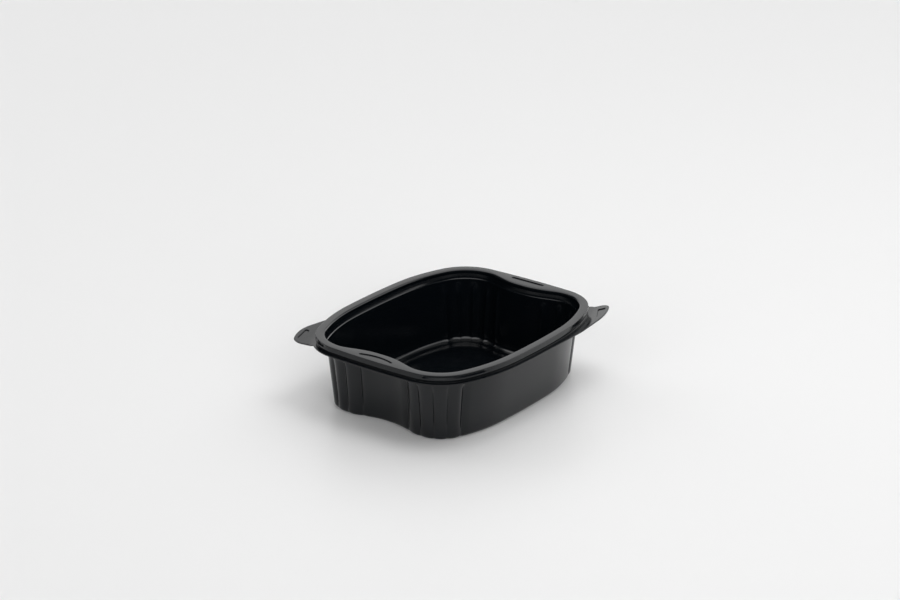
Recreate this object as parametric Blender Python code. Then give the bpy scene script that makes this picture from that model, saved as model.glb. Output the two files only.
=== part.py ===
"""Open takeaway meal container: one formed sheet of black plastic with a rim, grips, tabs and fluted corners.

Metres, +Z up, the long sides along X. The origin is under the middle of the floor, where it rests.
Insets are measured inwards from the rim's outer outline, and depths downwards from the rim's top.
"""

import math

import bmesh
import bpy
import numpy as np

# Overall sizes
HEIGHT = 0.0543
SHEET = 0.0008

# Outline of the rim, as tangent arcs from the middle of an end to the middle of a long side
END_RADIUS = 0.608
CORNER_RADIUS = 0.0348
SHOULDER_RADIUS = 0.1286
SIDE_RADIUS = 0.588
END_SWEEP = math.radians(3.4)
SHOULDER_SWEEP = math.radians(20.4)
SIDE_SWEEP = math.radians(2.8)
CORNER_SWEEP = math.pi / 2 - END_SWEEP - SHOULDER_SWEEP - SIDE_SWEEP

# Rim: flat top ring, neck inside it, skirt and lip outside it
RING_WIDTH = 0.0066
RING_ROUND = 0.0005
NECK_STEP_DEPTH = 0.0032
NECK_STEP_INSET = 0.0071
NECK_SLOPE_END = 0.0052
LEDGE_DEPTH = 0.0065
LEDGE_INSET = 0.0075
SKIRT_DEPTH = 0.0037
SKIRT_FLARE = 0.0002
UNDERCUT_INSET = 0.0007
LIP_DEPTH = 0.0056
LIP_REACH = 0.0026

# Grips: the inside of the rim bends inwards at both ends
GRIP_BEND = 0.0070
GRIP_HALF_WIDTH = 0.0350
BASE_BEND = 0.0063
BASE_HALF_WIDTH = 0.0310
BEND_POWER = 2.5

# Body below the rim
WALL_TOP_DEPTH = 0.0070
WALL_TOP_INSET = 0.0079
WALL_DRAFT = 0.108
FLOOR_ROUND = 0.0052

# Flutes round each corner: ribs that bulge outwards between creases
CREASES = 5
CREASE_PITCH = 0.0116
FIRST_CREASE = 0.0209
FLUTE_INSET = 0.0093
FLUTE_DEPTH = 0.0010
FLUTE_START = 0.0090
FLUTE_FULL = 0.0140

# Lifting tabs at two diagonal corners
TAB_EDGE_Y = 0.0796
TAB_LINE_START = 0.0100
TAB_LINE_END = 0.0660
TAB_SHOULDER_RADIUS = 0.050
TAB_SHOULDER_SWEEP = math.radians(30)
TAB_TIP_RADIUS = 0.0060
TAB_TIP_SWEEP = math.radians(101)
TAB_BACK_LENGTH = 0.0020
TAB_ROOT_RADIUS = 0.0050
TAB_ROOT_SWEEP = math.radians(41)
TAB_SLOPE = 0.245
TAB_RISE_ANGLE = math.radians(67.2)
TAB_FOLD_DISTANCE = 0.0908
TAB_FINE_START = 0.0503
TAB_FINE_END = 0.0550
TAB_FINE_PITCH = 0.0006
LIP_SHARES = (0.35, 0.7, 1.0)
NEARLY_PARALLEL = 1e-12

# Recesses: a slot along each grip and a rounded pocket in each tab
SLOT_X = 0.0904
SLOT_HALF_LENGTH = 0.0142
SLOT_WIDTH = 0.0018
RECESS_DEPTH = 0.0004
POCKET_CORNERS = ((0.0860, 0.0682), (0.0878, 0.0705), (0.0738, 0.0753))
POCKET_ROUND = 0.0013

# Samples round one quarter of the outline
END_SAMPLES = 3
SAMPLES_PER_CREASE = 5
SIDE_SAMPLES = 6
ARC_SAMPLES = 12
CAP_SAMPLES = 10

PLASTIC_COLOUR = (0.012, 0.012, 0.013, 1.0)
PLASTIC_ROUGHNESS = 0.22
SHARP_ANGLE = math.radians(35)


def clear_scene():
    for obj in list(bpy.data.objects):
        bpy.data.objects.remove(obj, do_unlink=True)


def quarter_arcs():
    return (
        (END_RADIUS, END_SWEEP),
        (CORNER_RADIUS, CORNER_SWEEP),
        (SHOULDER_RADIUS, SHOULDER_SWEEP),
        (SIDE_RADIUS, SIDE_SWEEP),
    )


def wall_length():
    """Length of one quarter of the outline, measured along the fluted wall."""
    return sum((radius - FLUTE_INSET) * sweep for radius, sweep in quarter_arcs())


def outline_at(along):
    """Point and outward normal on the rim's outline, at a length along the fluted wall from the end's middle."""
    x = sum(
        radius * (math.cos(start) - math.cos(start + sweep))
        for (radius, sweep), start in zip(quarter_arcs(), arc_starts())
    )
    y = 0.0
    for (radius, sweep), start in zip(quarter_arcs(), arc_starts()):
        turn = min(max(along / (radius - FLUTE_INSET), 0.0), sweep)
        x += radius * (math.cos(start + turn) - math.cos(start))
        y += radius * (math.sin(start + turn) - math.sin(start))
        angle = start + turn
        along -= turn * (radius - FLUTE_INSET)
        if turn < sweep:
            break
    return np.array((x, y)), np.array((math.cos(angle), math.sin(angle)))


def arc_starts():
    starts = [0.0]
    for _, sweep in quarter_arcs():
        starts.append(starts[-1] + sweep)
    return starts[:-1]


def crease_amount(along):
    """1 on a crease, 0 on the crest of a rib and on the plain walls."""
    place = (along - FIRST_CREASE) / CREASE_PITCH
    if place < -0.5 or place > CREASES - 0.5:
        return 0.0
    return 1.0 - abs(math.sin(math.pi * place))


def quarter_lengths(has_tab):
    """Sample places along the fluted wall, from the middle of an end to the middle of a long side."""
    first = FIRST_CREASE - 0.5 * CREASE_PITCH
    last = first + CREASES * CREASE_PITCH
    ends = np.linspace(0.0, first, END_SAMPLES, endpoint=False)
    ribs = np.linspace(first, last, CREASES * SAMPLES_PER_CREASE, endpoint=False)
    sides = np.linspace(last, wall_length(), SIDE_SAMPLES + 1)
    lengths = np.concatenate([ends, ribs, sides])
    if not has_tab:
        return lengths
    lengths = lengths[(lengths < TAB_FINE_START) | (lengths > TAB_FINE_END)]
    return np.sort(np.concatenate([lengths, np.arange(TAB_FINE_START, TAB_FINE_END, TAB_FINE_PITCH)]))


def arc_points(start, heading, turns):
    """Points along straight runs and tangent arcs, each (radius or None, length or sweep)."""
    points = [np.array(start)]
    for radius, amount in turns:
        if radius is None:
            step = np.array((math.cos(heading), -math.sin(heading))) * amount
            points.append(points[-1] + step)
            continue
        corner = points[-1]
        for k in range(1, ARC_SAMPLES + 1):
            angle = heading + amount * k / ARC_SAMPLES
            swing = (math.sin(angle) - math.sin(heading), math.cos(angle) - math.cos(heading))
            points.append(corner + radius * np.array(swing))
        heading += amount
    return np.array(points)


def tab_edge():
    """Outline of a tab, from the long side's lip round the tip to the end's lip."""
    return arc_points(
        (TAB_LINE_START, TAB_EDGE_Y),
        0.0,
        (
            (None, TAB_LINE_END - TAB_LINE_START),
            (TAB_SHOULDER_RADIUS, TAB_SHOULDER_SWEEP),
            (TAB_TIP_RADIUS, TAB_TIP_SWEEP),
            (None, TAB_BACK_LENGTH),
            (-TAB_ROOT_RADIUS, -TAB_ROOT_SWEEP),
        ),
    )


def reach_to(point, normal, path):
    """How far a ray from a point on the rim runs before it leaves a path, or 0 where it misses."""
    farthest = 0.0
    for a, b in zip(path[:-1], path[1:]):
        run = b - a
        cross = normal[0] * run[1] - normal[1] * run[0]
        if abs(cross) < NEARLY_PARALLEL:
            continue
        offset = a - point
        distance = (offset[0] * run[1] - offset[1] * run[0]) / cross
        place = (offset[0] * normal[1] - offset[1] * normal[0]) / cross
        if 0.0 <= place <= 1.0:
            farthest = max(farthest, distance)
    return farthest


def tab_rise(x, y):
    """How far a tab stands above the lip's level at a place in the quarter of positive X and Y."""
    outwards = x * math.cos(TAB_RISE_ANGLE) + y * math.sin(TAB_RISE_ANGLE)
    return TAB_SLOPE * max(0.0, outwards - TAB_FOLD_DISTANCE)


def quarter_samples(has_tab):
    """Samples of one quarter: point, normal, crease amount and the lip's stations as (reach, rise)."""
    edge = tab_edge()
    samples = []
    for along in quarter_lengths(has_tab):
        point, normal = outline_at(along)
        reach = max(LIP_REACH, reach_to(point, normal, edge)) if has_tab else LIP_REACH
        lip = [(reach * share, tab_rise(*(point + normal * reach * share))) for share in LIP_SHARES]
        samples.append((point, normal, crease_amount(along), lip))
    return samples


def rim_samples():
    """Every sample round the rim, counter-clockwise from the middle of the +X end."""
    samples = []
    for flip_x, flip_y in ((1, 1), (-1, 1), (-1, -1), (1, -1)):
        side = np.array((flip_x, flip_y))
        quarter = quarter_samples(has_tab=flip_x * flip_y < 0)
        quarter = quarter[:-1] if flip_x * flip_y > 0 else quarter[:0:-1]
        samples += [(point * side, normal * side, *rest) for point, normal, *rest in quarter]
    return samples


def bend(y, amount, half_width):
    """How far an end is bent inwards at y."""
    near = max(0.0, 1.0 - (abs(y) / half_width) ** BEND_POWER)
    return amount * near * near


def wall_inset(depth):
    return WALL_TOP_INSET + WALL_DRAFT * (depth - WALL_TOP_DEPTH)


def wall_bend(depth):
    """Bend amount and half width of the waist at a depth on the wall."""
    share = (depth - WALL_TOP_DEPTH) / (HEIGHT - WALL_TOP_DEPTH)
    amount = GRIP_BEND + (BASE_BEND - GRIP_BEND) * share
    return amount, GRIP_HALF_WIDTH + (BASE_HALF_WIDTH - GRIP_HALF_WIDTH) * share


def body_loops():
    """Inset, depth and flute share of each loop of the body, from the floor up to the ledge."""
    tilt = math.atan(WALL_DRAFT)
    centre_depth = HEIGHT - SHEET - FLOOR_ROUND
    tangent_depth = centre_depth + FLOOR_ROUND * math.sin(tilt)
    centre_inset = wall_inset(tangent_depth) + FLOOR_ROUND * math.cos(tilt)
    corner = ((math.pi / 2, 0.0), (math.pi / 3, 0.5), (math.pi / 6, 0.9), (tilt, 1.0))
    loops = []
    for angle, flute in corner:
        inset = centre_inset - FLOOR_ROUND * math.cos(angle)
        loops.append((inset, centre_depth + FLOOR_ROUND * math.sin(angle), flute))
    loops.append((wall_inset(FLUTE_FULL), FLUTE_FULL, 1.0))
    loops.append((wall_inset(FLUTE_START), FLUTE_START, 0.0))
    loops.append((wall_inset(WALL_TOP_DEPTH), WALL_TOP_DEPTH, 0.0))
    return loops


def body_point(sample, inset, depth, flute):
    point, normal, crease = sample[:3]
    place = point - normal * (inset + FLUTE_DEPTH * flute * crease)
    amount, half_width = wall_bend(max(depth, WALL_TOP_DEPTH))
    x = place[0] - math.copysign(bend(place[1], amount, half_width), place[0])
    return x, place[1], HEIGHT - depth


def rim_loops():
    """Inset, depth and bend share of each loop of the rim, from the ledge up over the ring to the undercut's foot."""
    return (
        (LEDGE_INSET, LEDGE_DEPTH, 1.0),
        (NECK_STEP_INSET, NECK_SLOPE_END, 1.0),
        (RING_WIDTH, NECK_STEP_DEPTH, 1.0),
        (RING_WIDTH, RING_ROUND, 1.0),
        (RING_WIDTH - RING_ROUND, 0.0, 1.0),
        (RING_ROUND, 0.0, 0.0),
        (0.0, RING_ROUND, 0.0),
        (-SKIRT_FLARE, SKIRT_DEPTH, 0.0),
        (UNDERCUT_INSET, LIP_DEPTH, 0.0),
    )


def rim_point(sample, inset, depth, share):
    point, normal = sample[:2]
    place = point - normal * inset
    x = place[0] - math.copysign(bend(place[1], GRIP_BEND * share, GRIP_HALF_WIDTH), place[0])
    return x, place[1], HEIGHT - depth


def lip_points(sample):
    """The points from the undercut's foot out to the lip's edge."""
    point, normal, _, lip = sample
    for reach, rise in lip:
        place = point + normal * reach
        yield place[0], place[1], HEIGHT - LIP_DEPTH + rise


def sheet_loops():
    """The points of every loop of the sheet's upper face, from the floor's edge out to the lip."""
    samples = rim_samples()
    loops = [[body_point(s, *loop) for s in samples] for loop in body_loops()]
    loops += [[rim_point(s, *loop) for s in samples] for loop in rim_loops()]
    loops += [list(loop) for loop in zip(*(lip_points(s) for s in samples))]
    return loops


def add_strip(bm, lower, upper):
    """Joins two loops of vertices with a band of quads that face up and inwards."""
    for a, b, c, d in zip(lower, lower[1:] + lower[:1], upper[1:] + upper[:1], upper):
        bm.faces.new((b, a, d, c))


def link(name, bm, material):
    mesh = bpy.data.meshes.new(name)
    bm.to_mesh(mesh)
    bm.free()
    obj = bpy.data.objects.new(name, mesh)
    bpy.context.scene.collection.objects.link(obj)
    if material:
        mesh.materials.append(material)
    return obj


def plastic():
    material = bpy.data.materials.new("black_plastic")
    material.use_nodes = True
    shader = material.node_tree.nodes["Principled BSDF"]
    shader.inputs["Base Color"].default_value = PLASTIC_COLOUR
    shader.inputs["Roughness"].default_value = PLASTIC_ROUGHNESS
    shader.inputs["Metallic"].default_value = 0.0
    return material


def formed_sheet(material):
    """The whole container as one sheet, thickened downwards."""
    bm = bmesh.new()
    rings = [[bm.verts.new(point) for point in points] for points in sheet_loops()]
    bm.faces.new(rings[0])
    for lower, upper in zip(rings[:-1], rings[1:]):
        add_strip(bm, lower, upper)
    container = link("container", bm, material)
    thicken = container.modifiers.new("sheet", "SOLIDIFY")
    thicken.thickness = SHEET
    thicken.offset = -1.0
    thicken.use_even_offset = True
    thicken.use_quality_normals = True
    return container


def rounded_path(corners, radius):
    """Outline round circles of one radius set at the corners, counter-clockwise."""
    corners = [np.array(corner) for corner in corners]
    points = []
    for k, corner in enumerate(corners):
        arriving = corner - corners[k - 1]
        leaving = corners[(k + 1) % len(corners)] - corner
        start = math.atan2(arriving[1], arriving[0]) - math.pi / 2
        turn = (math.atan2(leaving[1], leaving[0]) - math.pi / 2 - start) % (2 * math.pi)
        for j in range(CAP_SAMPLES + 1):
            angle = start + turn * j / CAP_SAMPLES
            points.append(corner + radius * np.array((math.cos(angle), math.sin(angle))))
    return points


def add_prism(bm, points):
    """A prism from the recess depth below an outline of points to as far above it."""
    face = bm.faces.new([bm.verts.new((x, y, z - RECESS_DEPTH)) for x, y, z in points])
    raised = bmesh.ops.extrude_face_region(bm, geom=[face])["geom"]
    verts = [item for item in raised if isinstance(item, bmesh.types.BMVert)]
    bmesh.ops.translate(bm, verts=verts, vec=(0.0, 0.0, 2 * RECESS_DEPTH))


def recess_cutter():
    """Slots for both grips and pockets for both tabs, as prisms that reach down into the sheet."""
    bm = bmesh.new()
    for side in (-1.0, 1.0):
        ends = ((side * SLOT_X, -SLOT_HALF_LENGTH), (side * SLOT_X, SLOT_HALF_LENGTH))
        add_prism(bm, [(x, y, HEIGHT) for x, y in rounded_path(ends, SLOT_WIDTH / 2)])
        pocket = rounded_path(POCKET_CORNERS, POCKET_ROUND)
        add_prism(bm, [(-side * x, side * y, HEIGHT - LIP_DEPTH + tab_rise(x, y)) for x, y in pocket])
    bmesh.ops.recalc_face_normals(bm, faces=bm.faces)
    cutter = link("recess_cutter", bm, None)
    cutter.hide_render = True
    cutter.display_type = "WIRE"
    return cutter


def shade(obj):
    obj.data.shade_smooth()
    obj.data.set_sharp_from_angle(angle=SHARP_ANGLE)


def main():
    clear_scene()
    container = formed_sheet(plastic())
    shade(container)
    recesses = container.modifiers.new("recesses", "BOOLEAN")
    recesses.operation = "DIFFERENCE"
    recesses.object = recess_cutter()


main()
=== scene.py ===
"""Studio scene of an open black takeaway container, made of one formed sheet of glossy plastic.

Metres, +Z up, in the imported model's frame. Insets run inwards from the rim's outer outline, and depths
downwards from the rim's top. A section through the sheet is a list of corners, each given as its inset,
its depth, its radius and the steps of its arc.
"""

import math

import bmesh
import bpy
import numpy as np
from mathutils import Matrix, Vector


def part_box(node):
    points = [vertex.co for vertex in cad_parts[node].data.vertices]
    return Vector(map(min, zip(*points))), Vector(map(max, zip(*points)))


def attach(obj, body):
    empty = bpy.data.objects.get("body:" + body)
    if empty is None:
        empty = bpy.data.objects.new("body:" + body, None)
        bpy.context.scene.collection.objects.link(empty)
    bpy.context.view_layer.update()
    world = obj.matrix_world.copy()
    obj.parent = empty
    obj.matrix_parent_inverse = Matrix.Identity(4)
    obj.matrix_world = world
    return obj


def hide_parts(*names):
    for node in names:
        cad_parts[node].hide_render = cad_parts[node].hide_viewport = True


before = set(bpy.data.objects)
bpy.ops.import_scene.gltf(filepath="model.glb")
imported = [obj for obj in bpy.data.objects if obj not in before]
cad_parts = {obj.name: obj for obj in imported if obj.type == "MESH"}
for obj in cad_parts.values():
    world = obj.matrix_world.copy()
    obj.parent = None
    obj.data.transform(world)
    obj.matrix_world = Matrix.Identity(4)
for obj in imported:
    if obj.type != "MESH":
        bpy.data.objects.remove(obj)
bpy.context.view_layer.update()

# Height of the container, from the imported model, and thickness of its sheet
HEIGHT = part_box("container")[1][2]
SHEET = 0.0008

# Outline of the rim, as tangent arcs from the middle of an end to the middle of a long side
END_RADIUS = 0.608
CORNER_RADIUS = 0.0348
SHOULDER_RADIUS = 0.1286
SIDE_RADIUS = 0.588
END_SWEEP = math.radians(3.4)
SHOULDER_SWEEP = math.radians(20.4)
SIDE_SWEEP = math.radians(2.8)
CORNER_SWEEP = math.pi / 2 - END_SWEEP - SHOULDER_SWEEP - SIDE_SWEEP

# Rim: flat top ring, neck inside it, skirt and lip outside it
RING_WIDTH = 0.0066
RING_INNER_ROUND = 0.0014
RING_OUTER_ROUND = 0.0014
NECK_STEP_DEPTH = 0.0032
NECK_STEP_INSET = 0.0071
NECK_SLOPE_END = 0.0052
LEDGE_DEPTH = 0.0065
LEDGE_INSET = 0.0075
SMALL_ROUND = 0.0003
SKIRT_DEPTH = 0.0037
SKIRT_FLARE = 0.0002
UNDERCUT_INSET = 0.0007
LIP_DEPTH = 0.0056
LIP_REACH = 0.0026
LIP_ROUND = 0.0002
FOOT_ROUND = 0.0002

# Snap groove under the ring and the rib below it, round the corners only
GROOVE_START = 0.0405
GROOVE_END = 0.0830
GROOVE_FADE_IN = 0.0020
GROOVE_FADE_OUT = 0.0120
GROOVE_TOP = 0.0006
GROOVE_DEPTH = 0.0015
GROOVE_INSET = 0.0007
RIB_DEPTH = 0.0027
RIB_INSET = -0.0002

# Grips: the inside of the rim and the wall bend inwards at both ends
GRIP_BEND = 0.0070
GRIP_HALF_WIDTH = 0.0350
BASE_BEND = 0.0063
BASE_HALF_WIDTH = 0.0310
BEND_POWER = 2.5
BEND_OUTSIDE = 0.0010
BEND_INSIDE = 0.0056

# Body below the rim
WALL_TOP_DEPTH = 0.0070
WALL_TOP_INSET = 0.0079
WALL_DRAFT = 0.108
FLOOR_ROUND = 0.0052
FLOOR_DEPTH = HEIGHT - SHEET
WALL_FOOT_HEIGHT = 1.2 * FLOOR_ROUND
WALL_STATIONS = 12

# Floor panel, raised a little inside a flat margin
PANEL_MARGIN = 0.0030
PANEL_RUN = 0.0008
PANEL_RISE = 0.0005
PANEL_SHARES = (0.8, 0.6, 0.4, 0.2)

# Flutes round each corner: ribs that bulge outwards between creases, with a narrow groove along each crease
CREASES = 5
CREASE_PITCH = 0.0116
FIRST_CREASE = 0.0209
CREASE_SOFTNESS = 0.06
CREASE_CROWDING = 1.8
CREASE_GROOVE_SHARE = 0.25
CREASE_GROOVE_WIDTH = 0.0012
FLUTE_INSET = 0.0093
FLUTE_DEPTH = 0.0019
FLUTE_START = 0.0085
FLUTE_FULL = 0.0170
FLUTE_FOOT_SHARE = 0.35
FLUTE_FOOT_START = 0.0400
FLUTE_FADE = 0.0070

# Lifting tabs at two diagonal corners
TAB_EDGE_Y = 0.0796
TAB_LINE_START = 0.0100
TAB_LINE_END = 0.0660
TAB_SHOULDER_RADIUS = 0.050
TAB_SHOULDER_SWEEP = math.radians(30)
TAB_TIP_RADIUS = 0.0060
TAB_TIP_SWEEP = math.radians(101)
TAB_BACK_LENGTH = 0.0020
TAB_ROOT_RADIUS = 0.0050
TAB_ROOT_SWEEP = math.radians(41)
TAB_SLOPE = 0.245
TAB_RISE_ANGLE = math.radians(67.2)
TAB_FOLD_DISTANCE = 0.0908
TAB_FOLD_SOFTNESS = 0.0008
TAB_FINE_START = 0.0503
TAB_FINE_END = 0.0550
TAB_FINE_PITCH = 0.00025
LIP_SHARES = (0.15, 0.3, 0.45, 0.6, 0.75, 0.9, 1.0)
NEARLY_PARALLEL = 1e-12

# Recesses: a slot along each grip and a rounded pocket in each tab
SLOT_X = 0.0904
SLOT_Y = -0.0005
SLOT_HALF_LENGTH = 0.0132
SLOT_WIDTH = 0.0023
SLOT_BULGE = 0.0022
SLOT_BULGE_SHARES = (-0.8, -0.6, -0.4, -0.2, 0.0, 0.2, 0.4, 0.6, 0.8)
POCKET_CORNERS = ((0.0860, 0.0682), (0.0878, 0.0705), (0.0738, 0.0753))
POCKET_ROUND = 0.0013
RECESS_DEPTH = 0.00068
RECESS_PROFILE = (
    (-0.00020, -RECESS_DEPTH),
    (-0.00008, -0.6 * RECESS_DEPTH),
    (0.0, -0.25 * RECESS_DEPTH),
    (0.00012, 0.0),
    (0.0006, 0.0006),
)

# Samples round one quarter of the outline, along a tab's arcs and round the corners of a recess
END_SAMPLES = 12
SAMPLES_PER_CREASE = 18
SIDE_SAMPLES = 20
ARC_SAMPLES = 14
CAP_SAMPLES = 12

# Rounding of the section's corners: steps of an arc, least length cut off, largest share of a side cut off
SMALL_STEPS = 3
MIDDLE_STEPS = 4
RING_STEPS = 7
FLOOR_STEPS = 12
LEAST_CUT = 0.00004
MOST_CUT = 0.45

# Edges that turn by more than this are shaded as sharp
SHARP_ANGLE = math.radians(50)

# Black polypropylene: colour, gloss, and the two limits between which a faint haze moves the roughness
PLASTIC_COLOUR = (0.0018, 0.0028, 0.0040, 1.0)
PLASTIC_IOR = 1.42
HAZE_SCALE = 60.0
HAZE_DETAIL = 4.0
HAZE_LOW = 0.3
HAZE_HIGH = 0.7
LEAST_ROUGHNESS = 0.13
MOST_ROUGHNESS = 0.20

# Faint draw marks of the forming, long in height and short across: turns per metre, detail, strength, height
DRAW_SCALE = (260.0, 260.0, 30.0)
DRAW_DETAIL = 3.0
DRAW_STRENGTH = 0.10
DRAW_HEIGHT = 0.0001

# Floor of the studio: half of its width, its colour and its gloss
STUDIO_REACH = 8.0
STUDIO_COLOUR = (0.80, 0.80, 0.80, 1.0)
STUDIO_ROUGHNESS = 0.35
STUDIO_IOR = 1.45

# Camera: 100 mm lens on a 36 mm sensor
CAMERA_PLACE = (-1.3216, -1.0004, 0.7408)
CAMERA_TURN = tuple(math.radians(a) for a in (67.92, 0.0, -52.78))
CAMERA_LENS = 100.0
CAMERA_SENSOR = 36.0

# Sky lights, which light the floor and aren't mirrored: name, height, azimuth and width in degrees, energy
SKY_LIGHTS = (
    ("top_light", 90.0, 0.0, 40.0, 0.45),
    ("front_left_light", 25.0, 240.0, 40.0, 1.30),
    ("front_right_light", 50.0, 300.0, 50.0, 0.45),
    ("back_right_light", 50.0, 60.0, 50.0, 0.45),
    ("left_light", 25.0, 180.0, 40.0, 0.80),
    ("right_light", 35.0, 0.0, 45.0, 0.75),
    ("back_light", 25.0, 90.0, 40.0, 0.55),
)

# Lamp above the right, which lights the floor and isn't mirrored
LAMP_PLACE = (0.20, -0.40, 1.2)
LAMP_WIDTH = 0.7
LAMP_POWER = 3.8

# Surroundings that the plastic mirrors: a pale band low down, dark above it and light overhead, in degrees
BAND_LEVEL = 0.75
BAND_FULL = 1.0
BAND_END = 7.0
DARK_LEVEL = 0.010
OVERHEAD_START = 38.0
OVERHEAD_FULL = 50.0
OVERHEAD_LEVEL = 2.5

# Soft boxes that the plastic mirrors: lowest and highest height, azimuth, half of the width, and level
SOFT_EDGE = 3.0
SOFT_BOXES = (
    (6.0, 38.0, 37.0, 42.0, 1.12),
    (4.0, 38.0, -31.0, 30.0, 2.0),
)


def smooth(t):
    """Eases from 0 to 1."""
    t = min(max(t, 0.0), 1.0)
    return t * t * (3.0 - 2.0 * t)


def quarter_arcs():
    return (
        (END_RADIUS, END_SWEEP),
        (CORNER_RADIUS, CORNER_SWEEP),
        (SHOULDER_RADIUS, SHOULDER_SWEEP),
        (SIDE_RADIUS, SIDE_SWEEP),
    )


def arc_starts():
    starts = [0.0]
    for _, sweep in quarter_arcs():
        starts.append(starts[-1] + sweep)
    return starts[:-1]


def wall_length():
    """Length of one quarter of the outline, measured along the fluted wall."""
    return sum((radius - FLUTE_INSET) * sweep for radius, sweep in quarter_arcs())


def outline_at(along):
    """Point and outward normal on the rim's outline, at a length along the wall from the end's middle."""
    x = sum(
        radius * (math.cos(start) - math.cos(start + sweep))
        for (radius, sweep), start in zip(quarter_arcs(), arc_starts())
    )
    y = 0.0
    for (radius, sweep), start in zip(quarter_arcs(), arc_starts()):
        turn = min(max(along / (radius - FLUTE_INSET), 0.0), sweep)
        x += radius * (math.cos(start + turn) - math.cos(start))
        y += radius * (math.sin(start + turn) - math.sin(start))
        angle = start + turn
        along -= turn * (radius - FLUTE_INSET)
        if turn < sweep:
            break
    return np.array((x, y)), np.array((math.cos(angle), math.sin(angle)))


def crease_amount(along):
    """1 on a crease, 0 on the crest of a rib and on the plain walls."""
    place = (along - FIRST_CREASE) / CREASE_PITCH
    if place < -0.5 or place > CREASES - 0.5:
        return 0.0
    blunt = math.hypot(math.sin(math.pi * place), CREASE_SOFTNESS)
    crest = math.hypot(1.0, CREASE_SOFTNESS)
    valley = (crest - blunt) / (crest - CREASE_SOFTNESS)
    distance = (place - round(place)) * CREASE_PITCH
    groove = math.exp(-((distance / CREASE_GROOVE_WIDTH) ** 2))
    return valley + CREASE_GROOVE_SHARE * (groove - valley)


def groove_amount(along):
    """1 where the snap groove is full, round the corner, and 0 on the plain skirt."""
    fade_in = smooth((along - GROOVE_START) / GROOVE_FADE_IN)
    return fade_in * smooth((GROOVE_END - along) / GROOVE_FADE_OUT)


def quarter_lengths(has_tab):
    """Sample places along the fluted wall, from the middle of an end to the middle of a long side."""
    first = FIRST_CREASE - 0.5 * CREASE_PITCH
    last = first + CREASES * CREASE_PITCH
    ends = np.linspace(0.0, first, END_SAMPLES, endpoint=False)
    spread = np.linspace(-1.0, 1.0, SAMPLES_PER_CREASE, endpoint=False)
    spread = np.sign(spread) * np.abs(spread) ** CREASE_CROWDING
    ribs = [FIRST_CREASE + CREASE_PITCH * (k + spread / 2) for k in range(CREASES)]
    sides = np.linspace(last, wall_length(), SIDE_SAMPLES + 1)
    lengths = np.concatenate([ends, *ribs, sides])
    if not has_tab:
        return lengths
    lengths = lengths[(lengths < TAB_FINE_START) | (lengths > TAB_FINE_END)]
    return np.sort(np.concatenate([lengths, np.arange(TAB_FINE_START, TAB_FINE_END, TAB_FINE_PITCH)]))


def arc_points(start, heading, turns):
    """Points along straight runs and tangent arcs, each (radius or None, length or sweep)."""
    points = [np.array(start)]
    for radius, amount in turns:
        if radius is None:
            step = np.array((math.cos(heading), -math.sin(heading))) * amount
            points.append(points[-1] + step)
            continue
        corner = points[-1]
        for k in range(1, ARC_SAMPLES + 1):
            angle = heading + amount * k / ARC_SAMPLES
            swing = (math.sin(angle) - math.sin(heading), math.cos(angle) - math.cos(heading))
            points.append(corner + radius * np.array(swing))
        heading += amount
    return np.array(points)


def tab_edge():
    """Outline of a tab, from the long side's lip round the tip to the end's lip."""
    return arc_points(
        (TAB_LINE_START, TAB_EDGE_Y),
        0.0,
        (
            (None, TAB_LINE_END - TAB_LINE_START),
            (TAB_SHOULDER_RADIUS, TAB_SHOULDER_SWEEP),
            (TAB_TIP_RADIUS, TAB_TIP_SWEEP),
            (None, TAB_BACK_LENGTH),
            (-TAB_ROOT_RADIUS, -TAB_ROOT_SWEEP),
        ),
    )


def reach_to(point, normal, path):
    """How far a ray from a point on the rim runs before it leaves a path, or 0 where it misses."""
    farthest = 0.0
    for a, b in zip(path[:-1], path[1:]):
        run = b - a
        cross = normal[0] * run[1] - normal[1] * run[0]
        if abs(cross) < NEARLY_PARALLEL:
            continue
        offset = a - point
        distance = (offset[0] * run[1] - offset[1] * run[0]) / cross
        place = (offset[0] * normal[1] - offset[1] * normal[0]) / cross
        if 0.0 <= place <= 1.0:
            farthest = max(farthest, distance)
    return farthest


def tab_rise(x, y):
    """How far a tab stands above the lip's level at a place in the quarter of positive X and Y."""
    outwards = x * math.cos(TAB_RISE_ANGLE) + y * math.sin(TAB_RISE_ANGLE) - TAB_FOLD_DISTANCE
    if outwards > TAB_FOLD_SOFTNESS:
        return TAB_SLOPE * outwards
    return TAB_SLOPE * max(0.0, outwards + TAB_FOLD_SOFTNESS) ** 2 / (4 * TAB_FOLD_SOFTNESS)


def quarter_samples(has_tab):
    """Samples of one quarter: point, normal, crease, groove and the lip's stations as (reach, rise)."""
    edge = tab_edge()
    samples = []
    for along in quarter_lengths(has_tab):
        point, normal = outline_at(along)
        reach = max(LIP_REACH, reach_to(point, normal, edge)) if has_tab else LIP_REACH
        lip = [(reach * share, tab_rise(*(point + normal * reach * share))) for share in LIP_SHARES]
        samples.append((point, normal, crease_amount(along), groove_amount(along), lip))
    return samples


def rim_samples():
    """Every sample round the rim, counter-clockwise from the middle of the +X end."""
    samples = []
    for flip_x, flip_y in ((1, 1), (-1, 1), (-1, -1), (1, -1)):
        side = np.array((flip_x, flip_y))
        quarter = quarter_samples(has_tab=flip_x * flip_y < 0)
        quarter = quarter[:-1] if flip_x * flip_y > 0 else quarter[:0:-1]
        samples += [(point * side, normal * side, *rest) for point, normal, *rest in quarter]
    return samples


def wall_inset(depth):
    return WALL_TOP_INSET + WALL_DRAFT * (depth - WALL_TOP_DEPTH)


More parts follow.
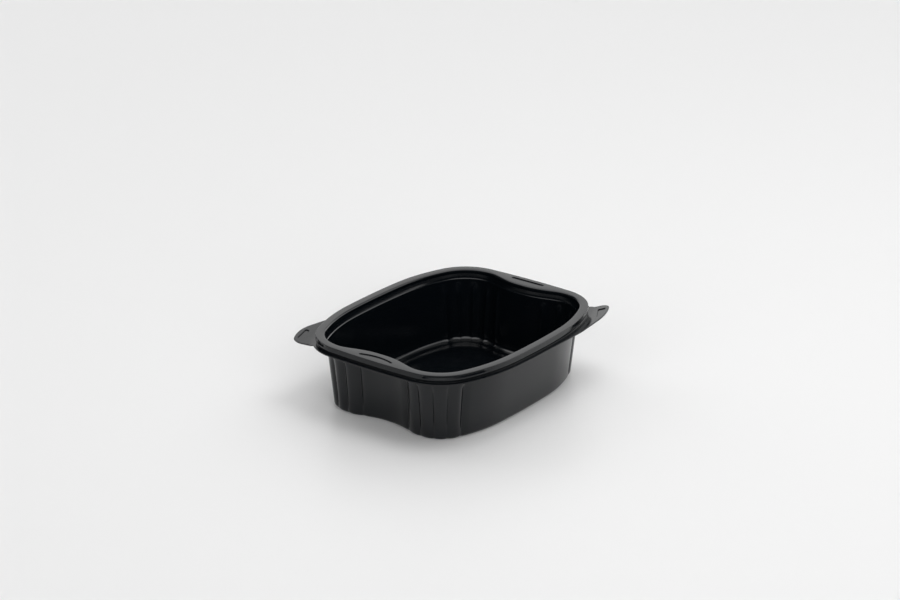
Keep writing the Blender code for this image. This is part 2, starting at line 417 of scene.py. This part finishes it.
def body_corners():
    """Corners of the upper face from the floor panel up to the ring's inner edge."""
    floor_inset = wall_inset(FLOOR_DEPTH)
    margin = floor_inset + FLOOR_ROUND + PANEL_MARGIN
    wall_foot = FLOOR_DEPTH - WALL_FOOT_HEIGHT
    corners = [
        (margin + PANEL_RUN, FLOOR_DEPTH - PANEL_RISE, SMALL_ROUND, SMALL_STEPS),
        (margin, FLOOR_DEPTH, SMALL_ROUND, SMALL_STEPS),
        (floor_inset, FLOOR_DEPTH, FLOOR_ROUND, FLOOR_STEPS),
    ]
    for k in range(WALL_STATIONS):
        share = k / (WALL_STATIONS - 1)
        depth = wall_foot + (FLUTE_START - wall_foot) * math.sin(share * math.pi / 2)
        corners.append((wall_inset(depth), depth, 0.0, 1))
    return corners + [
        (WALL_TOP_INSET, WALL_TOP_DEPTH, SMALL_ROUND, SMALL_STEPS),
        (LEDGE_INSET, LEDGE_DEPTH, SMALL_ROUND, MIDDLE_STEPS),
        (NECK_STEP_INSET, NECK_SLOPE_END, SMALL_ROUND, MIDDLE_STEPS),
        (RING_WIDTH, NECK_STEP_DEPTH, SMALL_ROUND, MIDDLE_STEPS),
        (RING_WIDTH, 0.0, RING_INNER_ROUND, RING_STEPS),
    ]


def rim_corners(sample):
    """Corners of the upper face from the ring's outer edge down the skirt, under it and out to the lip."""
    groove, lip = sample[3:]

    def skirt(depth, inset):
        flare = -SKIRT_FLARE * depth / SKIRT_DEPTH
        return flare + groove * (inset - flare)

    corners = [
        (0.0, 0.0, RING_OUTER_ROUND, RING_STEPS),
        (skirt(GROOVE_TOP, 0.0), GROOVE_TOP, SMALL_ROUND, SMALL_STEPS),
        (skirt(GROOVE_DEPTH, GROOVE_INSET), GROOVE_DEPTH, SMALL_ROUND, MIDDLE_STEPS),
        (skirt(RIB_DEPTH, RIB_INSET), RIB_DEPTH, SMALL_ROUND, MIDDLE_STEPS),
        (-SKIRT_FLARE, SKIRT_DEPTH, SMALL_ROUND, MIDDLE_STEPS),
        (UNDERCUT_INSET, LIP_DEPTH, FOOT_ROUND, MIDDLE_STEPS),
    ]
    corners += [(-reach, LIP_DEPTH - rise, 0.0, 1) for reach, rise in lip[:-1]]
    return corners + [(-lip[-1][0], LIP_DEPTH - lip[-1][1], LIP_ROUND, MIDDLE_STEPS)]


def direction(a, b):
    """Unit direction of the section's path in (outwards, up), from corner a to corner b."""
    run = np.array((a[0] - b[0], a[1] - b[1]))
    return run / np.linalg.norm(run)


def turned(way):
    """The direction to the right of a direction: the side that the sheet lies on."""
    return np.array((way[1], -way[0]))


def under_corners(upper):
    """The upper face's corners moved to the sheet's lower face, in the same order."""
    under = []
    for k, (inset, depth, radius, steps) in enumerate(upper):
        before = direction(upper[k - 1], upper[k]) if k else direction(upper[0], upper[1])
        after = direction(upper[k], upper[k + 1]) if k + 1 < len(upper) else before
        right_before, right_after = turned(before), turned(after)
        move = (right_before + right_after) / (1.0 + right_before @ right_after) * SHEET
        left_turn = before[0] * after[1] - before[1] * after[0] > 0.0
        round_under = max(radius + (SHEET if left_turn else -SHEET), LEAST_CUT) if radius else 0.0
        under.append((inset - move[0], depth - move[1], round_under, max(1, steps // 2)))
    return under


def rounded(corners):
    """Points (inset, depth) along the corners' path, with an arc of each corner's radius."""
    points = []
    for k, (inset, depth, radius, steps) in enumerate(corners):
        spot = np.array((inset, depth))
        if radius == 0.0 or k in (0, len(corners) - 1):
            points.append(spot)
            continue
        back = np.array(corners[k - 1][:2]) - spot
        ahead = np.array(corners[k + 1][:2]) - spot
        lengths = np.linalg.norm(back), np.linalg.norm(ahead)
        cosine = -(back @ ahead) / (lengths[0] * lengths[1])
        half_turn = math.acos(min(max(cosine, -1.0), 1.0)) / 2
        cut = max(radius * math.tan(half_turn), LEAST_CUT)
        cut = min(cut, MOST_CUT * lengths[0], MOST_CUT * lengths[1])
        start = spot + back / lengths[0] * cut
        end = spot + ahead / lengths[1] * cut
        weight = math.cos(half_turn)
        for j in range(steps + 1):
            u = j / steps
            parts = (1 - u) ** 2, 2 * u * (1 - u) * weight, u * u
            points.append((parts[0] * start + parts[1] * spot + parts[2] * end) / sum(parts))
    return points


def section(sample):
    """The closed section at a sample, from the floor's upper face over the rim to its lower face."""
    upper = body_corners() + rim_corners(sample)
    under = under_corners(upper)
    edge = [(*under[-1][:2], LIP_ROUND, MIDDLE_STEPS)]
    return rounded(upper + edge + under[-2::-1])


def bend(y, depth, inset):
    """How far a point is moved inwards by the grip at an end."""
    share = max(0.0, (depth - WALL_TOP_DEPTH) / (HEIGHT - WALL_TOP_DEPTH))
    amount = GRIP_BEND + (BASE_BEND - GRIP_BEND) * share
    half_width = GRIP_HALF_WIDTH + (BASE_HALF_WIDTH - GRIP_HALF_WIDTH) * share
    near = max(0.0, 1.0 - (abs(y) / half_width) ** BEND_POWER)
    return amount * near * near * smooth((inset - BEND_OUTSIDE) / (BEND_INSIDE - BEND_OUTSIDE))


def flute_share(inset, depth):
    """How deep the flutes are: none at the top, full on the wall, less at the foot, none on the floor."""
    top = smooth((depth - FLUTE_START) / (FLUTE_FULL - FLUTE_START))
    foot = smooth((depth - FLUTE_FOOT_START) / (HEIGHT - FLUTE_FOOT_START))
    inside = smooth((inset - wall_inset(FLOOR_DEPTH)) / FLUTE_FADE)
    return top * (1.0 + (FLUTE_FOOT_SHARE - 1.0) * foot) * (1.0 - inside)


def place_on_sheet(sample, inset, depth):
    """The place in space of a point of the section, with the grip's bend and the flutes added."""
    point, normal, crease = sample[:3]
    spot = point - normal * (inset + FLUTE_DEPTH * flute_share(inset, depth) * crease)
    x = spot[0] - math.copysign(bend(spot[1], depth, inset), spot[0])
    return x, spot[1], HEIGHT - depth


def add_strip(bm, lower, upper):
    """Joins two loops of vertices with a band of quads."""
    for a, b, c, d in zip(lower, lower[1:] + lower[:1], upper[1:] + upper[:1], upper):
        bm.faces.new((b, a, d, c))


def shrunk(loop, share):
    return [(x * share, y * share, z) for x, y, z in loop]


def sheet_mesh():
    """The whole container as one closed sheet with both faces and a rounded lip."""
    samples = rim_samples()
    columns = [[place_on_sheet(sample, *spot) for spot in section(sample)] for sample in samples]
    loops = [list(loop) for loop in zip(*columns)]
    inner = [shrunk(loops[0], share) for share in PANEL_SHARES[::-1]]
    outer = [shrunk(loops[-1], share) for share in PANEL_SHARES]
    bm = bmesh.new()
    rings = [[bm.verts.new(point) for point in loop] for loop in inner + loops + outer]
    bm.faces.new(rings[0])
    for lower, upper in zip(rings[:-1], rings[1:]):
        add_strip(bm, lower, upper)
    bm.faces.new(rings[-1][::-1])
    return bm


def link(name, bm):
    mesh = bpy.data.meshes.new(name)
    bm.to_mesh(mesh)
    bm.free()
    obj = bpy.data.objects.new(name, mesh)
    bpy.context.scene.collection.objects.link(obj)
    return obj


def rounded_path(corners, radius):
    """Outline round circles of one radius set at the corners, counter-clockwise."""
    corners = [np.array(corner) for corner in corners]
    points = []
    for k, corner in enumerate(corners):
        arriving = corner - corners[k - 1]
        leaving = corners[(k + 1) % len(corners)] - corner
        start = math.atan2(arriving[1], arriving[0]) - math.pi / 2
        turn = (math.atan2(leaving[1], leaving[0]) - math.pi / 2 - start) % (2 * math.pi)
        for j in range(CAP_SAMPLES + 1):
            angle = start + turn * j / CAP_SAMPLES
            points.append(corner + radius * np.array((math.cos(angle), math.sin(angle))))
    return points


def slot_corners(side):
    """Corners of a slot, counter-clockwise: straight along its outer edge, bulging along its inner one."""
    corners = [(side * SLOT_X, SLOT_Y + end * side * SLOT_HALF_LENGTH) for end in (-1.0, 1.0)]
    for share in SLOT_BULGE_SHARES:
        inwards = SLOT_BULGE * (1.0 - share * share)
        corners.append((side * (SLOT_X - inwards), SLOT_Y - side * share * SLOT_HALF_LENGTH))
    return corners


def add_recess(bm, outlines, surface):
    """A cutter with a flat bottom, drafted walls and a rounded lip, for a recess below a surface."""
    rings = []
    for outline, (_, height) in zip(outlines, RECESS_PROFILE):
        rings.append([bm.verts.new((x, y, surface(x, y) + height)) for x, y in outline])
    bm.faces.new(rings[0])
    for lower, upper in zip(rings[:-1], rings[1:]):
        add_strip(bm, lower, upper)
    bm.faces.new(rings[-1])


def recess_cutter():
    """Slots for both grips and pockets for both tabs."""
    bm = bmesh.new()
    for side in (-1.0, 1.0):
        slots = [rounded_path(slot_corners(side), SLOT_WIDTH / 2 + wider) for wider, _ in RECESS_PROFILE]
        add_recess(bm, slots, lambda x, y: HEIGHT)
        pockets = [rounded_path(POCKET_CORNERS, POCKET_ROUND + wider) for wider, _ in RECESS_PROFILE]
        turned_pockets = [[(-side * x, side * y) for x, y in pocket] for pocket in pockets]
        add_recess(bm, turned_pockets, lambda x, y: HEIGHT - LIP_DEPTH + tab_rise(abs(x), abs(y)))
    bmesh.ops.recalc_face_normals(bm, faces=bm.faces)
    return link("recess_cutter", bm)


def plastic():
    """Glossy black polypropylene with faint unevenness of the formed sheet."""
    material = bpy.data.materials.new("black_plastic")
    material.use_nodes = True
    nodes = material.node_tree.nodes
    links = material.node_tree.links
    shader = nodes["Principled BSDF"]
    shader.inputs["Base Color"].default_value = PLASTIC_COLOUR
    shader.inputs["IOR"].default_value = PLASTIC_IOR
    place = nodes.new("ShaderNodeTexCoord")
    haze = nodes.new("ShaderNodeTexNoise")
    haze.inputs["Scale"].default_value = HAZE_SCALE
    haze.inputs["Detail"].default_value = HAZE_DETAIL
    spread = nodes.new("ShaderNodeMapRange")
    spread.inputs["From Min"].default_value = HAZE_LOW
    spread.inputs["From Max"].default_value = HAZE_HIGH
    spread.inputs["To Min"].default_value = LEAST_ROUGHNESS
    spread.inputs["To Max"].default_value = MOST_ROUGHNESS
    links.new(place.outputs["Object"], haze.inputs["Vector"])
    links.new(haze.outputs["Fac"], spread.inputs["Value"])
    links.new(spread.outputs["Result"], shader.inputs["Roughness"])
    stretch = nodes.new("ShaderNodeMapping")
    stretch.inputs["Scale"].default_value = DRAW_SCALE
    draw = nodes.new("ShaderNodeTexNoise")
    draw.inputs["Scale"].default_value = 1.0
    draw.inputs["Detail"].default_value = DRAW_DETAIL
    uneven = nodes.new("ShaderNodeBump")
    uneven.inputs["Strength"].default_value = DRAW_STRENGTH
    uneven.inputs["Distance"].default_value = DRAW_HEIGHT
    links.new(place.outputs["Object"], stretch.inputs["Vector"])
    links.new(stretch.outputs["Vector"], draw.inputs["Vector"])
    links.new(draw.outputs["Fac"], uneven.inputs["Height"])
    links.new(uneven.outputs["Normal"], shader.inputs["Normal"])
    return material


def make_container():
    """The sheet with its recesses cut in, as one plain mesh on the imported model's body."""
    container = link("container_sheet", sheet_mesh())
    container.data.shade_smooth()
    container.data.set_sharp_from_angle(angle=SHARP_ANGLE)
    cutter = recess_cutter()
    recesses = container.modifiers.new("recesses", "BOOLEAN")
    recesses.operation = "DIFFERENCE"
    recesses.object = cutter
    graph = bpy.context.evaluated_depsgraph_get()
    finished = bpy.data.meshes.new_from_object(container.evaluated_get(graph))
    container.modifiers.clear()
    container.data = finished
    bpy.data.objects.remove(cutter, do_unlink=True)
    container.data.materials.clear()
    container.data.materials.append(plastic())
    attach(container, "root")
    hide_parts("container")


def make_floor():
    bm = bmesh.new()
    bmesh.ops.create_grid(bm, x_segments=1, y_segments=1, size=STUDIO_REACH)
    floor = link("floor", bm)
    material = bpy.data.materials.new("pale_floor")
    material.use_nodes = True
    shader = material.node_tree.nodes["Principled BSDF"]
    shader.inputs["Base Color"].default_value = STUDIO_COLOUR
    shader.inputs["Roughness"].default_value = STUDIO_ROUGHNESS
    shader.inputs["IOR"].default_value = STUDIO_IOR
    floor.data.materials.append(material)


def make_camera():
    data = bpy.data.cameras.new("camera")
    data.lens = CAMERA_LENS
    data.sensor_width = CAMERA_SENSOR
    camera = bpy.data.objects.new("camera", data)
    camera.location = CAMERA_PLACE
    camera.rotation_euler = CAMERA_TURN
    bpy.context.scene.collection.objects.link(camera)
    bpy.context.scene.camera = camera


def make_sky_lights():
    """Soft light on the floor from above and from the sides."""
    for name, height, azimuth, width, energy in SKY_LIGHTS:
        data = bpy.data.lights.new(name, "SUN")
        data.energy = energy
        data.angle = math.radians(width)
        sun = bpy.data.objects.new(name, data)
        sun.rotation_euler = (0.0, math.radians(90.0 - height), math.radians(azimuth))
        sun.visible_glossy = False
        bpy.context.scene.collection.objects.link(sun)


def make_lamp():
    data = bpy.data.lights.new("lamp", "AREA")
    data.energy = LAMP_POWER
    data.size = LAMP_WIDTH
    lamp = bpy.data.objects.new("lamp", data)
    lamp.location = LAMP_PLACE
    lamp.visible_glossy = False
    bpy.context.scene.collection.objects.link(lamp)


def add_softened(tree, value, low, high, level):
    """A node that turns a value between two limits into a level, with soft ends, and returns its output."""
    fade = tree.nodes.new("ShaderNodeMapRange")
    fade.interpolation_type = "SMOOTHSTEP"
    fade.inputs["From Min"].default_value = low
    fade.inputs["From Max"].default_value = high
    fade.inputs["To Min"].default_value = 0.0
    fade.inputs["To Max"].default_value = level
    tree.links.new(value, fade.inputs["Value"])
    return fade.outputs["Result"]


def combine(tree, operation, first, second):
    node = tree.nodes.new("ShaderNodeMath")
    node.operation = operation
    tree.links.new(first, node.inputs[0])
    tree.links.new(second, node.inputs[1])
    return node.outputs["Value"]


def add_soft_box(tree, way, up, low, high, azimuth, half_width, level):
    """Light between two heights and to both sides of an azimuth, with soft edges."""
    azimuth = math.radians(azimuth)
    facing = tree.nodes.new("ShaderNodeVectorMath")
    facing.operation = "DOT_PRODUCT"
    facing.inputs[1].default_value = (math.cos(azimuth), math.sin(azimuth), 0.0)
    tree.links.new(way, facing.inputs[0])
    middle = math.cos(math.radians((low + high) / 2))
    edge = [middle * math.cos(math.radians(half_width + move)) for move in (SOFT_EDGE, -SOFT_EDGE)]
    sideways = add_softened(tree, facing.outputs["Value"], *edge, level)
    moves = (-SOFT_EDGE / 2, SOFT_EDGE / 2)
    heights = [math.sin(math.radians(limit + move)) for limit in (low, high) for move in moves]
    above = add_softened(tree, up, heights[0], heights[1], 1.0)
    below = add_softened(tree, up, heights[3], heights[2], 1.0)
    return combine(tree, "MULTIPLY", sideways, combine(tree, "MULTIPLY", above, below))


def make_world():
    """Studio surroundings, only mirrored: a pale horizon, dark above it, light overhead and soft boxes."""
    world = bpy.data.worlds.new("studio")
    bpy.context.scene.world = world
    world.use_nodes = True
    world.cycles_visibility.diffuse = False
    tree = world.node_tree
    way = tree.nodes.new("ShaderNodeTexCoord").outputs["Generated"]
    split = tree.nodes.new("ShaderNodeSeparateXYZ")
    tree.links.new(way, split.inputs["Vector"])
    up = split.outputs["Z"]
    band_end, band_full = (math.sin(math.radians(height)) for height in (BAND_END, BAND_FULL))
    total = add_softened(tree, up, band_end, band_full, BAND_LEVEL)
    overhead = [math.sin(math.radians(height)) for height in (OVERHEAD_START, OVERHEAD_FULL)]
    total = combine(tree, "ADD", total, add_softened(tree, up, *overhead, OVERHEAD_LEVEL))
    for box in SOFT_BOXES:
        total = combine(tree, "ADD", total, add_soft_box(tree, way, up, *box))
    dark = tree.nodes.new("ShaderNodeMath")
    dark.operation = "ADD"
    dark.inputs[1].default_value = DARK_LEVEL
    tree.links.new(total, dark.inputs[0])
    tree.links.new(dark.outputs["Value"], tree.nodes["Background"].inputs["Color"])


bpy.context.scene.view_settings.view_transform = "Standard"
make_container()
make_floor()
make_camera()
make_sky_lights()
make_lamp()
make_world()
